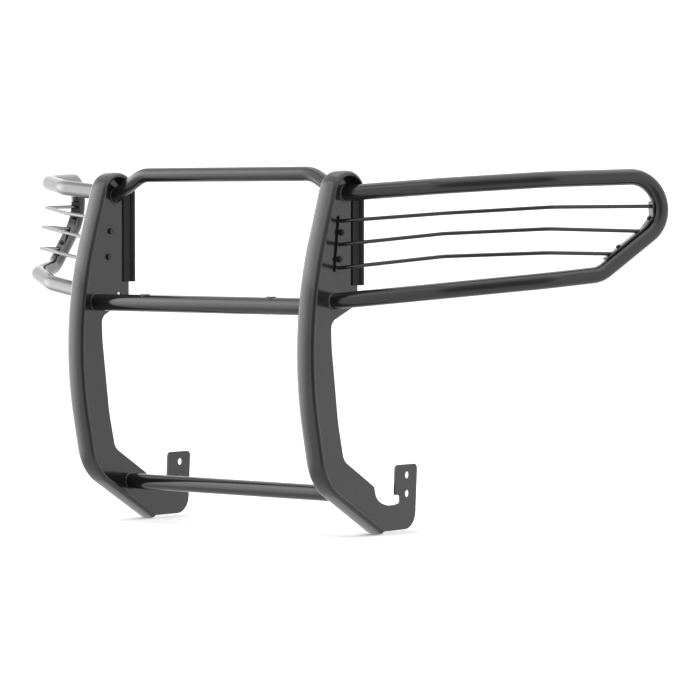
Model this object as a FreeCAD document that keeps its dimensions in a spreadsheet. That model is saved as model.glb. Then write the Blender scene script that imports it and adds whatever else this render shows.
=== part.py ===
"""Front grille guard for a pickup truck, as a parametric FreeCAD document (millimetres).

Design datum: the upper bolt hole of the frame tabs is at Y = 0, Z = 0, and X = 0 is the
guard's plane of symmetry.  -Y is the front of the truck and +Z is up.  Every sub-part is
modelled from that datum, and its Placement then moves it into the part frame, whose
origin is at the bottom, in the middle of the guard's footprint.
"""
import FreeCAD, Part
import math
import os

import Sketcher

V = FreeCAD.Vector
X_AXIS = V(1, 0, 0)
Z_AXIS = V(0, 0, 1)
SIDES = {"left": -1, "right": 1}
TRUE_TOLERANCE = 0.01
OVERRUN = 30.0
CUT_BOX = 1200.0

# ---------------------------------------------------------------- driving dimensions
DIMENSIONS = {
    # from the datum hole to the part frame
    "frame_shift_y": 66.918,
    "frame_shift_z": 134.0,
    # upright plates
    "plate_spacing": 729.0,
    "plate_thickness": 4.5,
    "tab_hole_diameter": 17.5,
    "tab_hole_spacing": 44.5,
    "strip_hole_diameter": 8.6,
    "service_hole_diameter": 11.0,
    # pressed channel along the front of each plate
    "channel_width": 52.0,
    "channel_depth": 12.5,
    "channel_wall": 2.5,
    "channel_corner": 9.0,
    "channel_inside_bend": 6.0,
    "channel_hem_height": 3.6,
    "channel_hem_thickness": 4.2,
    "channel_rim_radius": 3.2,
    "brow_radius": 850.0,
    "chin_radius": 130.0,
    "dome_radius": 61.5,
    "dome_end_angle": 22.0,
    # crossbars and wing tubes
    "tube_diameter": 38.1,
    "tube_wall": 2.1,
    "upper_bar_diameter": 34.9,
    "middle_bar_diameter": 41.3,
    "middle_bar_wall": 2.6,
    "upper_bar_bend_radius": 76.0,
    "sweep_bend_radius": 150.0,
    "loop_corner_radius": 73.7,
    # guard rods and the flat strips that carry them
    "rod_diameter": 9.0,
    "rod_bend_radius": 60.0,
    "inner_strip_width": 22.0,
    "inner_strip_thickness": 4.8,
    "inner_strip_above_bolt": 38.0,
    "inner_strip_below_bolt": 30.0,
    "inner_strip_corner": 3.0,
    "outer_strip_width": 20.0,
    "outer_strip_thickness": 4.0,
    "outer_strip_standoff": 0.6,
    "outer_strip_start": 33.0,
    "outer_strip_straight": 127.0,
    "outer_strip_lifted": 35.0,
    "outer_strip_lift_angle": 14.5,
    "outer_strip_lift_bend": 60.0,
    "outer_strip_rise": 36.0,
    "outer_strip_lean": 2.0,
    "outer_strip_inside_bend": 2.0,
    # fasteners
    "inner_bolt_diameter": 8.0,
    "inner_bolt_flats": 13.0,
    "inner_bolt_head": 5.3,
    "inner_nut_height": 6.5,
    "inner_bolt_end": 2.5,
    "outer_bolt_diameter": 6.0,
    "outer_bolt_flats": 10.0,
    "outer_bolt_head": 4.2,
    "outer_bolt_clearance": 0.6,
    "outer_bolt_first": 46.0,
    "outer_bolt_second": 28.5,
    "insert_diameter": 9.0,
    "insert_flange": 13.0,
    "insert_flange_height": 1.9,
    "raised_flange_height": 4.2,
    "insert_length": 13.0,
    "insert_clearance": 0.3,
    # rubber trim on the rear edges
    "trim_grip_depth": 22.0,
    "trim_grip_wall": 3.4,
    "trim_lip_radius": 1.5,
    "trim_web": 3.0,
    "trim_bulb_gap": 0.3,
    "trim_bulb_diameter": 21.0,
    "trim_bulb_wall": 2.6,
    "trim_bottom": 457.0,
    "trim_grip_top": 668.0,
    "trim_top": 683.0,
    # plugs that close the two light-bracket holes of the middle bar
    "plug_diameter": 26.0,
    "plug_stem_diameter": 18.0,
    "plug_stem_length": 9.0,
    "plug_crown": 2.0,
    "plug_offset": 200.0,
    # fillet welds round the tube ends
    "wing_weld_leg": 3.6,
    "bar_weld_leg": 2.6,
}

# Rounding of the corners along the plate's tab, hook and rear edge, from the foot up.
CORNER_RADII = {
    "tab_rear_foot": 42.0,
    "tab_rear_top": 12.0,
    "tab_front_top": 11.0,
    "notch_lip": 4.0,
    "notch_step": 6.0,
    "notch_rear": 6.0,
    "notch_floor_rear": 100.0,
    "notch_floor_front": 90.0,
    "notch_slope": 60.0,
    "notch_throat": 32.0,
    "hook_top": 5.0,
    "neck": 34.0,
    "lower_knee": 400.0,
    "upper_knee": 300.0,
    "shoulder": 24.0,
    "head_foot": 8.0,
}

# Named places on the centre lines, for the +X half, measured from the datum hole.
PLACES = {
    "dome_centre": (0.0, -244.6, 665.2),
    "brow_corner": (0.0, -414.6, 349.1),
    "chin_corner": (0.0, -338.5, -8.7),
    "channel_tip": (0.0, -121.6, -134.0),
    "tab_rear_foot": (0.0, 29.0, -129.8),
    "tab_rear_top": (0.0, 38.3, 26.0),
    "tab_front_top": (0.0, -44.8, 26.0),
    "notch_lip": (0.0, -48.3, -45.8),
    "notch_step": (0.0, -27.3, -45.8),
    "notch_rear": (0.0, -27.3, -65.2),
    "notch_floor_rear": (0.0, -48.0, -68.9),
    "notch_floor_front": (0.0, -74.0, -68.9),
    "notch_slope": (0.0, -101.0, -61.6),
    "notch_throat": (0.0, -119.8, -48.0),
    "hook_top": (0.0, -126.6, -21.0),
    "neck": (0.0, -240.6, 47.0),
    "lower_knee": (0.0, -262.0, 138.0),
    "upper_knee": (0.0, -285.8, 318.0),
    "shoulder": (0.0, -287.2, 372.6),
    "head_foot": (0.0, -182.0, 413.0),
    "service_hole": (0.0, -224.7, 427.0),
    "upper_strip_bolt": (0.0, -255.5, 581.7),
    "lower_strip_bolt": (0.0, -263.0, 518.8),
    "upper_bar_end": (0.0, -238.0, 668.0),
    "upper_bar_bend": (270.0, -238.0, 719.0),
    "middle_bar": (0.0, -307.0, 408.0),
    "lower_bar": (0.0, -184.0, -37.5),
    "wing_upper_end": (366.0, -235.0, 673.0),
    "wing_upper_bend_one": (600.0, -167.3, 689.5),
    "wing_upper_bend_two": (799.7, -20.9, 704.5),
    "wing_tip": (1006.6, 390.7, 718.3),
    "wing_low_corner": (874.2, 76.0, 484.3),
    "wing_lower_bend_two": (813.6, -47.6, 471.5),
    "wing_lower_bend_one": (628.8, -184.5, 448.8),
    "wing_lower_end": (366.0, -277.0, 421.0),
    "upper_rod_start": (366.0, -259.0, 607.8),
    "upper_rod_bend_one": (605.0, -163.0, 626.4),
    "upper_rod_bend_two": (806.7, -22.7, 640.5),
    "upper_rod_end": (922.2, 206.9, 642.5),
    "middle_rod_start": (366.0, -262.0, 552.7),
    "middle_rod_bend_one": (608.0, -172.8, 579.2),
    "middle_rod_bend_two": (807.4, -35.0, 590.4),
    "middle_rod_end": (908.3, 165.9, 584.9),
    "lower_rod_start": (366.0, -266.0, 498.1),
    "lower_rod_bend_one": (614.5, -180.8, 526.8),
    "lower_rod_bend_two": (808.9, -41.4, 535.3),
    "lower_rod_end": (880.9, 100.0, 532.4),
}

doc = FreeCAD.newDocument("grille_guard")
sheet = doc.addObject("Spreadsheet::Sheet", "dimensions")


def fill_sheet():
    """Put every driving dimension and place in the sheet, one named cell each."""
    cells = dict(DIMENSIONS)
    for place, point in PLACES.items():
        for letter, value in zip("xyz", point):
            cells["%s_%s" % (place, letter)] = value
    for row, (alias, value) in enumerate(cells.items(), start=1):
        sheet.set("A%d" % row, alias)
        sheet.set("B%d" % row, str(value))
        sheet.setAlias("B%d" % row, alias)
    doc.recompute()


def dim(alias):
    return float(getattr(sheet, alias))


def place(name, side=1):
    """A named place, mirrored to the -X half for side = -1."""
    return V(side * dim(name + "_x"), dim(name + "_y"), dim(name + "_z"))


fill_sheet()
SHIFT = V(0, dim("frame_shift_y"), dim("frame_shift_z"))
PLATE_X = dim("plate_spacing") / 2
HALF_PLATE = dim("plate_thickness") / 2
TUBE_R = dim("tube_diameter") / 2
nodes = []


def finish(obj, label, move=V(0, 0, 0)):
    """Name a finished sub-part and move it into the part frame."""
    obj.Label = label
    obj.Placement = FreeCAD.Placement(SHIFT + move, FreeCAD.Rotation())
    nodes.append(obj)
    return obj


def feature(shape, label):
    """A sub-part whose shape comes from Part's own functions."""
    obj = doc.addObject("Part::Feature", label)
    obj.Shape = shape
    return finish(obj, label)


# ---------------------------------------------------------------- geometry helpers
def rounded_edges(corners, closed=False):
    """Edges through corner points, each rounded by its own radius: [(point, radius)]."""
    count = len(corners)
    cuts = []
    for index, (point, radius) in enumerate(corners):
        is_end = not closed and index in (0, count - 1)
        if is_end or radius <= 0:
            cuts.append((point, None, point))
            continue
        before = (corners[index - 1][0] - point).normalize()
        after = (corners[(index + 1) % count][0] - point).normalize()
        half = before.getAngle(after) / 2
        reach = radius / math.tan(half)
        bisector = (before + after).normalize()
        middle = point + bisector * (radius / math.sin(half) - radius)
        cuts.append((point + before * reach, middle, point + after * reach))
    edges = []
    for index, (_, middle, leave) in enumerate(cuts):
        if middle is not None:
            edges.append(Part.Arc(cuts[index][0], middle, leave))
        if index == count - 1 and not closed:
            break
        arrive = cuts[(index + 1) % count][0]
        if (arrive - leave).Length > TRUE_TOLERANCE:
            edges.append(Part.LineSegment(leave, arrive))
    return edges


def wire_of(corners, closed=False):
    return Part.Wire([edge.toShape() for edge in rounded_edges(corners, closed)])


def crossing(p, p_dir, q, q_dir):
    """Where two lines of the YZ plane cross."""
    denominator = p_dir.y * q_dir.z - p_dir.z * q_dir.y
    gap = q - p
    return p + p_dir * ((gap.y * q_dir.z - gap.z * q_dir.y) / denominator)


def inset(corners, distance):
    """A YZ path moved sideways towards its centres of curvature."""
    moved = []
    count = len(corners)
    for index, (point, radius) in enumerate(corners):
        lines = []
        for start, end in ((index - 1, index), (index, index + 1)):
            if 0 <= start and end < count:
                along = (corners[end][0] - corners[start][0]).normalize()
                normal = V(0, -along.z, along.y)
                lines.append((corners[start][0] + normal * distance, along, normal))
        if len(lines) == 1:
            moved.append((point + lines[0][2] * distance, 0))
        else:
            spot = crossing(lines[0][0], lines[0][1], lines[1][0], lines[1][1])
            moved.append((spot, radius - distance))
    return moved


def half_space(point, outward):
    """A box that fills the side of a plane that outward points to."""
    box = Part.makeBox(CUT_BOX, CUT_BOX, CUT_BOX, V(-CUT_BOX / 2, -CUT_BOX / 2, 0))
    box.Placement = FreeCAD.Placement(point, FreeCAD.Rotation(Z_AXIS, outward)).multiply(box.Placement)
    return box


def bent_rod(points, radii, diameter):
    """A round rod along straight runs joined by tangent bends."""
    path = wire_of(list(zip(points, radii)))
    start_dir = (points[1] - points[0]).normalize()
    rim = Part.Wire([Part.makeCircle(diameter / 2, points[0], start_dir)])
    return path.makePipe(Part.Face(rim))


def bent_tube(points, radii, diameter, wall):
    return bent_rod(points, radii, diameter).cut(bent_rod(points, radii, diameter - 2 * wall))


def facing(direction, reference):
    """The direction or its opposite, whichever is on the reference's side."""
    return direction if direction.dot(reference) > 0 else direction * -1


# ---------------------------------------------------------------- document helpers
def origin_plane(body, role):
    for item in body.Origin.OriginFeatures:
        if item.Role == role:
            return item
    raise ValueError(role)


def new_body(name):
    return doc.addObject("PartDesign::Body", name)


def new_sketch(body, name, role):
    sketch = body.newObject("Sketcher::SketchObject", name)
    sketch.AttachmentSupport = [(origin_plane(body, role), "")]
    sketch.MapMode = "FlatFace"
    return sketch


def flat(point):
    """A YZ point in the coordinates of a sketch on the YZ plane."""
    return V(point.y, point.z, 0)


def draw_corners(sketch, corners, closed=True):
    flattened = [(flat(point), radius) for point, radius in corners]
    for edge in rounded_edges(flattened, closed):
        sketch.addGeometry(edge)


def draw_circle(sketch, centre, diameter):
    """A circle whose diameter is an expression over the sheet's cells."""
    value = float(sheet.evalExpression(diameter.replace("dimensions.", "")))
    index = sketch.addGeometry(Part.Circle(centre, Z_AXIS, value / 2))
    constraint = sketch.addConstraint(Sketcher.Constraint("Diameter", index, value))
    sketch.setExpression("Constraints[%d]" % constraint, diameter)
    sketch.addConstraint(Sketcher.Constraint("DistanceX", -1, 1, index, 3, centre.x))
    sketch.addConstraint(Sketcher.Constraint("DistanceY", -1, 1, index, 3, centre.y))


def extrusion(kind, body, name, sketch, length, side_type):
    step = body.newObject(kind, name)
    step.Profile = sketch
    step.SideType = side_type
    step.setExpression("Length", length)
    return step


def pad(body, name, sketch, length, side_type="Symmetric"):
    step = extrusion("PartDesign::Pad", body, name, sketch, length, side_type)
    doc.recompute()
    return step


def pocket(body, name, sketch, length, side_type="Symmetric", upwards=False):
    """A pocket, checked to have removed material."""
    before = body.Shape.Volume
    step = extrusion("PartDesign::Pocket", body, name, sketch, length, side_type)
    step.Reversed = upwards
    doc.recompute()
    if body.Shape.Volume > before - TRUE_TOLERANCE:
        raise ValueError("pocket %s cut nothing" % name)
    return step


# ---------------------------------------------------------------- uprights
def front_path():
    """Corners of the channel's outer face, from the dome's rear end to the bottom tip."""
    centre = place("dome_centre")
    radius = dim("dome_radius")
    brow = place("brow_corner")
    end_angle = math.radians(dim("dome_end_angle"))
    dome_end = centre + V(0, math.cos(end_angle), math.sin(end_angle)) * radius
    end_dir = V(0, -math.sin(end_angle), math.cos(end_angle))
    to_centre = centre - brow
    lean = math.atan2(to_centre.z, to_centre.y) + math.asin(radius / to_centre.Length)
    brow_dir = V(0, math.cos(lean), math.sin(lean))
    dome_corner = crossing(dome_end, end_dir, brow, brow_dir)
    return [
        (dome_end, 0),
        (dome_corner, radius),
        (brow, dim("brow_radius")),
        (place("chin_corner"), dim("chin_radius")),
        (place("channel_tip"), 0),
    ]


FRONT = front_path()
WEB_INSIDE = inset(FRONT, dim("channel_wall"))
REAR_EDGE_Y = WEB_INSIDE[0][0].y


def plate_outline():
    """Corners of the upright plate, from the channel's tip round the hook to the head."""
    tip, chin = WEB_INSIDE[-1][0], WEB_INSIDE[-2][0]
    front_foot = crossing(place("tab_rear_foot"), V(0, 1, 0), tip, (chin - tip).normalize())
    rear = [(place(name), radius) for name, radius in CORNER_RADII.items()]
    rear[-1][0].y = REAR_EDGE_Y
    return WEB_INSIDE[:-1] + [(front_foot, 0)] + rear


def build_plate(name, side):
    body = new_body(name)
    outline = new_sketch(body, name + "_outline", "YZ_Plane")
    draw_corners(outline, plate_outline())
    pad(body, name + "_pad", outline, "dimensions.plate_thickness")
    holes = new_sketch(body, name + "_holes", "YZ_Plane")
    draw_circle(holes, V(0, 0, 0), "dimensions.tab_hole_diameter")
    draw_circle(holes, V(0, -dim("tab_hole_spacing"), 0), "dimensions.tab_hole_diameter")
    draw_circle(holes, flat(place("service_hole")), "dimensions.service_hole_diameter")
    for bolt in ("upper_strip_bolt", "lower_strip_bolt"):
        draw_circle(holes, flat(place(bolt)), "dimensions.strip_hole_diameter")
    pocket(body, name + "_hole_pocket", holes, "dimensions.plate_thickness * 2")
    return finish(body, name, V(side * PLATE_X, 0, 0))


def closed_band(outer, inner):
    """The closed outline between a path and its inset."""
    return outer + list(reversed(inner))


def path_edge_names(shape, corners, x_offset):
    """Edges of a shape that run along a YZ path at a given X."""
    names = []
    path = wire_of([(V(x_offset, point.y, point.z), radius) for point, radius in corners])
    for index, edge in enumerate(shape.Edges, start=1):
        samples = edge.discretize(5)
        if all(path.distToShape(Part.Vertex(sample))[0] < TRUE_TOLERANCE for sample in samples):
            names.append("Edge%d" % index)
    return names


def round_along(body, name, base, edge_names, radius):
    fillet = body.newObject("PartDesign::Fillet", name)
    fillet.Base = (base, edge_names)
    fillet.setExpression("Radius", radius)
    doc.recompute()
    return fillet


def build_channel(name, side):
    """A pressed channel that wraps over the dome and runs down to the bottom tip."""
    body = new_body(name)
    rim = inset(FRONT, dim("channel_depth"))
    band = new_sketch(body, name + "_band", "YZ_Plane")
    draw_corners(band, closed_band(FRONT, rim))
    pad(body, name + "_block", band, "dimensions.channel_width")
    hem = inset(FRONT, dim("channel_depth") - dim("channel_hem_height"))
    hollow = new_sketch(body, name + "_hollow", "YZ_Plane")
    draw_corners(hollow, closed_band(WEB_INSIDE, hem))
    inside = "dimensions.channel_width - 2 * dimensions.channel_wall"
    pocket(body, name + "_recess", hollow, inside)
    past_rim = inset(FRONT, dim("channel_depth") + 1)
    mouth = new_sketch(body, name + "_mouth", "YZ_Plane")
    draw_corners(mouth, closed_band(hem, past_rim))
    between_hems = "dimensions.channel_width - 2 * dimensions.channel_hem_thickness"
    base = pocket(body, name + "_mouth_cut", mouth, between_hems)
    half_width = dim("channel_width") / 2
    half_inside = half_width - dim("channel_wall")
    inner = path_edge_names(base.Shape, WEB_INSIDE, half_inside)
    inner += path_edge_names(base.Shape, WEB_INSIDE, -half_inside)
    base = round_along(body, name + "_inner_bend", base, inner,
                       "dimensions.channel_inside_bend")
    outer = path_edge_names(base.Shape, FRONT, half_width)
    outer += path_edge_names(base.Shape, FRONT, -half_width)
    base = round_along(body, name + "_outer_bend", base, outer, "dimensions.channel_corner")
    rolled = path_edge_names(base.Shape, rim, half_width)
    rolled += path_edge_names(base.Shape, rim, -half_width)
    round_along(body, name + "_rolled_rim", base, rolled, "dimensions.channel_rim_radius")
    return finish(body, name, V(side * PLATE_X, 0, 0))


def build_trim(name, side):
    """Rubber edge trim: a U that grips the plate's rear edge, with a hollow bulb behind."""
    body = new_body(name)
    lip = HALF_PLATE + dim("trim_grip_wall")
    lip_radius = dim("trim_lip_radius")
    front = REAR_EDGE_Y - dim("trim_grip_depth")
    web = REAR_EDGE_Y + dim("trim_web")
    grip = new_sketch(body, name + "_grip_section", "XY_Plane")
    outline = [
        (V(-lip, front, 0), lip_radius),
        (V(-HALF_PLATE, front, 0), 0),
        (V(-HALF_PLATE, REAR_EDGE_Y, 0), 0),
        (V(HALF_PLATE, REAR_EDGE_Y, 0), 0),
        (V(HALF_PLATE, front, 0), 0),
        (V(lip, front, 0), lip_radius),
        (V(lip, web, 0), 0),
        (V(-lip, web, 0), 0),
    ]
    for edge in rounded_edges(outline, closed=True):
        grip.addGeometry(edge)
    grip_length = "dimensions.trim_grip_top - dimensions.trim_bottom"
    pad(body, name + "_grip", grip, grip_length, "One side")
    bulb = new_sketch(body, name + "_bulb_section", "XY_Plane")
    centre = V(0, REAR_EDGE_Y + dim("trim_bulb_diameter") / 2 + dim("trim_bulb_gap"), 0)
    draw_circle(bulb, centre, "dimensions.trim_bulb_diameter")
    draw_circle(bulb, centre, "dimensions.trim_bulb_diameter - 2 * dimensions.trim_bulb_wall")
    bulb_length = "dimensions.trim_top - dimensions.trim_bottom"
    pad(body, name + "_bulb", bulb, bulb_length, "One side")
    return finish(body, name, V(side * PLATE_X, 0, dim("trim_bottom")))


# ---------------------------------------------------------------- crossbars
def build_straight_bar(name, where, diameter, wall):
    """A straight tube that butts against the inner faces of both plates."""
    body = new_body(name)
    section = new_sketch(body, name + "_section", "YZ_Plane")
    centre = flat(place(where))
    outer = "dimensions." + diameter
    draw_circle(section, centre, outer)
    draw_circle(section, centre, "%s - 2 * dimensions.%s" % (outer, wall))
    pad(body, name + "_pad", section, "dimensions.plate_spacing - dimensions.plate_thickness")
    return body


def build_upper_bar(name):
    """The top tube: level in the middle, its ends bent down to the plates."""
    ends, bends = [], []
    for side in (-1, 1):
        bend, end = place("upper_bar_bend", side), place("upper_bar_end")
        end.x = side * (PLATE_X - HALF_PLATE)
        ends.append(end)
        bends.append(bend)
    past = [end + (end - bend).normalize() * OVERRUN for end, bend in zip(ends, bends)]
    points = [past[0], bends[0], bends[1], past[1]]
    radii = [dim("upper_bar_bend_radius")] * len(points)
    tube = bent_tube(points, radii, dim("upper_bar_diameter"), dim("tube_wall"))
    for side, end in zip((-1, 1), ends):
        tube = tube.cut(half_space(end, V(side, 0, 0)))
    return feature(tube.Solids[0], name)


def build_middle_bar(name):
    """The middle tube, drilled from above for its two plugs."""
    bar = build_straight_bar(name, "middle_bar", "middle_bar_diameter", "middle_bar_wall")
    drill = new_sketch(bar, name + "_plug_holes", "XY_Plane")
    for side in (-1, 1):
        centre = V(side * dim("plug_offset"), dim("middle_bar_y"), 0)
        draw_circle(drill, centre, "dimensions.plug_stem_diameter")
    reach = "dimensions.middle_bar_z + dimensions.middle_bar_diameter"
    pocket(bar, name + "_plug_pocket", drill, reach, "One side", upwards=True)
    return finish(bar, name)


def build_plugs(name):
    """Plugs with saddle-shaped crowns that close the middle bar's two holes."""
    bar_radius = dim("middle_bar_diameter") / 2
    plug_radius, stem_radius = dim("plug_diameter") / 2, dim("plug_stem_diameter") / 2
    length = dim("plug_diameter") * 2
    plugs = []
    for side in (-1, 1):
        foot = place("middle_bar") + V(side * dim("plug_offset"), 0, 0)
        start = foot - V(length / 2, 0, 0)
        bar = Part.makeCylinder(bar_radius, length, start, X_AXIS)
        crown = Part.makeCylinder(bar_radius + dim("plug_crown"), length, start, X_AXIS)
        head = crown.common(Part.makeCylinder(plug_radius, length, foot, Z_AXIS)).cut(bar)
        stem_foot = foot + V(0, 0, bar_radius - dim("plug_stem_length"))
        stem = Part.makeCylinder(stem_radius, length, stem_foot, Z_AXIS).common(crown)
        plugs.append(head.fuse(stem).removeSplitter().Solids[0])
    return feature(Part.makeCompound(plugs), name)


# ---------------------------------------------------------------- wings
def wing_points(side):
    names = ["wing_upper_end", "wing_upper_bend_one", "wing_upper_bend_two", "wing_tip",
             "wing_low_corner", "wing_lower_bend_two", "wing_lower_bend_one", "wing_lower_end"]
    return [place(name, side) for name in names]


def loop_frame(side):
    """Axes of the wing's outer loop: outward along the tube, up, and off its plane."""
    low, tip, bend = (place(name, side) for name in
                      ("wing_low_corner", "wing_tip", "wing_upper_bend_two"))
    along = (tip - bend).normalize()
    off = along.cross(low - tip).normalize()
    return along, facing(off.cross(along), Z_AXIS), off


def strip_path(side):
    """The outer strip's middle line, with each run's facing direction towards the loop."""
    along, up, off = loop_frame(side)
    tip, low = place("wing_tip", side), place("wing_low_corner", side)
    run = (tip - low).normalize()
    inward = facing(run.cross(off).normalize(), Z_AXIS)
    offset = TUBE_R + dim("outer_strip_standoff") + dim("outer_strip_thickness") / 2
    foot = low + run * dim("outer_strip_start") + inward * offset
    kink = foot + run * dim("outer_strip_straight")
    lift = math.radians(dim("outer_strip_lift_angle"))
    lifted_run = run * math.cos(lift) + inward * math.sin(lift)
    bend = kink + lifted_run * dim("outer_strip_lifted")
    top = bend + up * dim("outer_strip_rise") + along * dim("outer_strip_lean")
    points = [foot, kink, bend, top]
    faces = []
    for start, end in zip(points, points[1:]):
        faces.append(facing((end - start).cross(off).normalize(), inward))
    return points, faces


def strip_side(points, faces, offset, radii):
    """Corners of one side of the strip, moved off its middle line."""
    corners = [(points[0] + faces[0] * offset, 0)]
    for point, before, after, radius in zip(points[1:], faces, faces[1:], radii):
        mitre = (before + after).normalize()
        corners.append((point + mitre * (offset / mitre.dot(before)), radius))
    corners.append((points[-1] + faces[-1] * offset, 0))
    return corners


def strip_solid(side):
    points, faces = strip_path(side)
    _, _, off = loop_frame(side)
    thickness, width = dim("outer_strip_thickness"), dim("outer_strip_width")
    tight = [dim("outer_strip_lift_bend"), dim("outer_strip_inside_bend")]
    wide = [radius + thickness for radius in tight]
    inner = strip_side(points, faces, thickness / 2, tight)
    outer = strip_side(points, faces, -thickness / 2, wide)
    outline = inner + list(reversed(outer))
    near_side = [(point - off * (width / 2), radius) for point, radius in outline]
    return Part.Face(wire_of(near_side, closed=True)).extrude(off * width)


def outer_bolts(side):
    """Each outer bolt's place on the strip's middle line, its direction and its flange."""
    (foot, kink, bend, _), faces = strip_path(side)
    first = foot + (kink - foot).normalize() * dim("outer_bolt_first")
    second = kink + (bend - kink).normalize() * dim("outer_bolt_second")
    return [(first, faces[0], "insert_flange_height"), (second, faces[1], "raised_flange_height")]


def build_wing(side_name, side):
    """The wing's tube loop, with a drilled and spot-faced seat for each insert."""
    points = wing_points(side)
    points[0] = points[0] - (points[1] - points[0]).normalize() * OVERRUN
    points[-1] = points[-1] - (points[-2] - points[-1]).normalize() * OVERRUN
    sweep, corner = dim("sweep_bend_radius"), dim("loop_corner_radius")
    radii = [0, sweep, sweep, corner, corner, sweep, sweep, 0]
    tube = bent_tube(points, radii, dim("tube_diameter"), dim("tube_wall"))
    face = V(side * (PLATE_X + HALF_PLATE), dim("wing_upper_end_y"), dim("wing_upper_end_z"))
    tube = tube.cut(half_space(face, V(-side, 0, 0)))
    hole_radius = (dim("insert_diameter") + dim("insert_clearance")) / 2
    for spot, inward, flange_height in outer_bolts(side):
        seat = spot - inward * (dim("outer_strip_thickness") / 2)
        tube = tube.cut(Part.makeCylinder(hole_radius, dim("insert_length"), seat, inward * -1))
        flange = Part.makeCylinder(dim("insert_flange") / 2, dim(flange_height), seat, inward * -1)
        tube = tube.cut(flange)
    return feature(tube.Solids[0], "wing_tube_" + side_name)


def build_rods(side_name, side):
    """Three bent rods from the inner strip to the outer strip."""
    strip_face = place("upper_strip_bolt")
    strip_face.x = side * (PLATE_X + HALF_PLATE + dim("inner_strip_thickness"))
    points, faces = strip_path(side)
    half = dim("outer_strip_thickness") / 2
    stops = {"upper": (points[3], faces[2]), "middle": (points[0], faces[0]),
             "lower": (points[0], faces[0])}
    for level, (on_strip, normal) in stops.items():
        points = [place("%s_rod_%s" % (level, part), side)
                  for part in ("start", "bend_one", "bend_two", "end")]
        points[-1] = points[-1] + (points[-1] - points[-2]).normalize() * OVERRUN
        radii = [dim("rod_bend_radius")] * len(points)
        rod = bent_rod(points, radii, dim("rod_diameter"))
        rod = rod.cut(half_space(strip_face, V(-side, 0, 0)))
        rod = rod.cut(half_space(on_strip + normal * half, normal * -1))
        feature(rod.Solids[0], "%s_rod_%s" % (level, side_name))


def build_inner_strip(side_name, side):
    """Flat strip on the plate's outer face, with two bolt holes."""
    name = "inner_rod_strip_" + side_name
    upper, lower = place("upper_strip_bolt"), place("lower_strip_bolt")
    along = (upper - lower).normalize()
    across = V(0, along.z, -along.y)
    half = dim("inner_strip_width") / 2
    top = upper + along * dim("inner_strip_above_bolt")
    bottom = lower - along * dim("inner_strip_below_bolt")
    corner = dim("inner_strip_corner")
    body = new_body(name)
    outline = new_sketch(body, name + "_outline", "YZ_Plane")
    ring = [top - across * half, top + across * half, bottom + across * half, bottom - across * half]
    draw_corners(outline, [(point, corner) for point in ring])
    pad(body, name + "_pad", outline, "dimensions.inner_strip_thickness")
    holes = new_sketch(body, name + "_holes", "YZ_Plane")
    for bolt in (upper, lower):
        draw_circle(holes, flat(bolt), "dimensions.strip_hole_diameter")
    pocket(body, name + "_hole_pocket", holes, "dimensions.inner_strip_thickness * 2")
    middle = PLATE_X + HALF_PLATE + dim("inner_strip_thickness") / 2
    return finish(body, name, V(side * middle, 0, 0))


# ---------------------------------------------------------------- fasteners
def cylinder(name, radius, height, base, direction):
    obj = doc.addObject("Part::Cylinder", name)
    obj.setExpression("Radius", radius)
    obj.setExpression("Height", height)
    obj.Placement = FreeCAD.Placement(base, FreeCAD.Rotation(Z_AXIS, direction))
    return obj


def hex_prism(name, flats, height, base, direction):
    obj = doc.addObject("Part::Prism", name)
    obj.Polygon = 6
    obj.setExpression("Circumradius", "%s / sqrt(3)" % flats)
    obj.setExpression("Height", height)
    obj.Placement = FreeCAD.Placement(base, FreeCAD.Rotation(Z_AXIS, direction))
    return obj


def joined(kind, name, base, tool):
    obj = doc.addObject(kind, name)
    obj.Base = base
    obj.Tool = tool
    return obj


def grouped(label, items):
    """Identical fasteners as separate solids of one sub-part."""
    group = doc.addObject("Part::Compound", label)
    group.Links = items
    return finish(group, label)


def build_inner_fasteners(side_name, side):
    """Hex bolts from the plate's inner face, and their nuts on the strip."""
    outward = V(side, 0, 0)
    grip = "dimensions.plate_thickness + dimensions.inner_strip_thickness"
    bolts, nuts = [], []
    for index, where in enumerate(("upper_strip_bolt", "lower_strip_bolt")):
        spot = place(where)
        head_face = V(side * (PLATE_X - HALF_PLATE), spot.y, spot.z)
        nut_face = V(side * (PLATE_X + HALF_PLATE + dim("inner_strip_thickness")), spot.y, spot.z)
        tag = "%s_%d" % (side_name, index)
        head = hex_prism("head_" + tag, "dimensions.inner_bolt_flats", "dimensions.inner_bolt_head",
                         head_face, outward * -1)
        shank = cylinder("shank_" + tag, "dimensions.inner_bolt_diameter / 2",
                         grip + " + dimensions.inner_nut_height + dimensions.inner_bolt_end", head_face, outward)
        bolts.append(joined("Part::Fuse", "bolt_" + tag, head, shank))
        block = hex_prism("nut_block_" + tag, "dimensions.inner_bolt_flats",
                          "dimensions.inner_nut_height", nut_face, outward)
        bore = cylinder("nut_bore_" + tag, "dimensions.inner_bolt_diameter / 2",
                        "dimensions.inner_nut_height", nut_face, outward)
        nuts.append(joined("Part::Cut", "nut_" + tag, block, bore))
    grouped("inner_strip_bolts_" + side_name, bolts)
    grouped("inner_strip_nuts_" + side_name, nuts)


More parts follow.
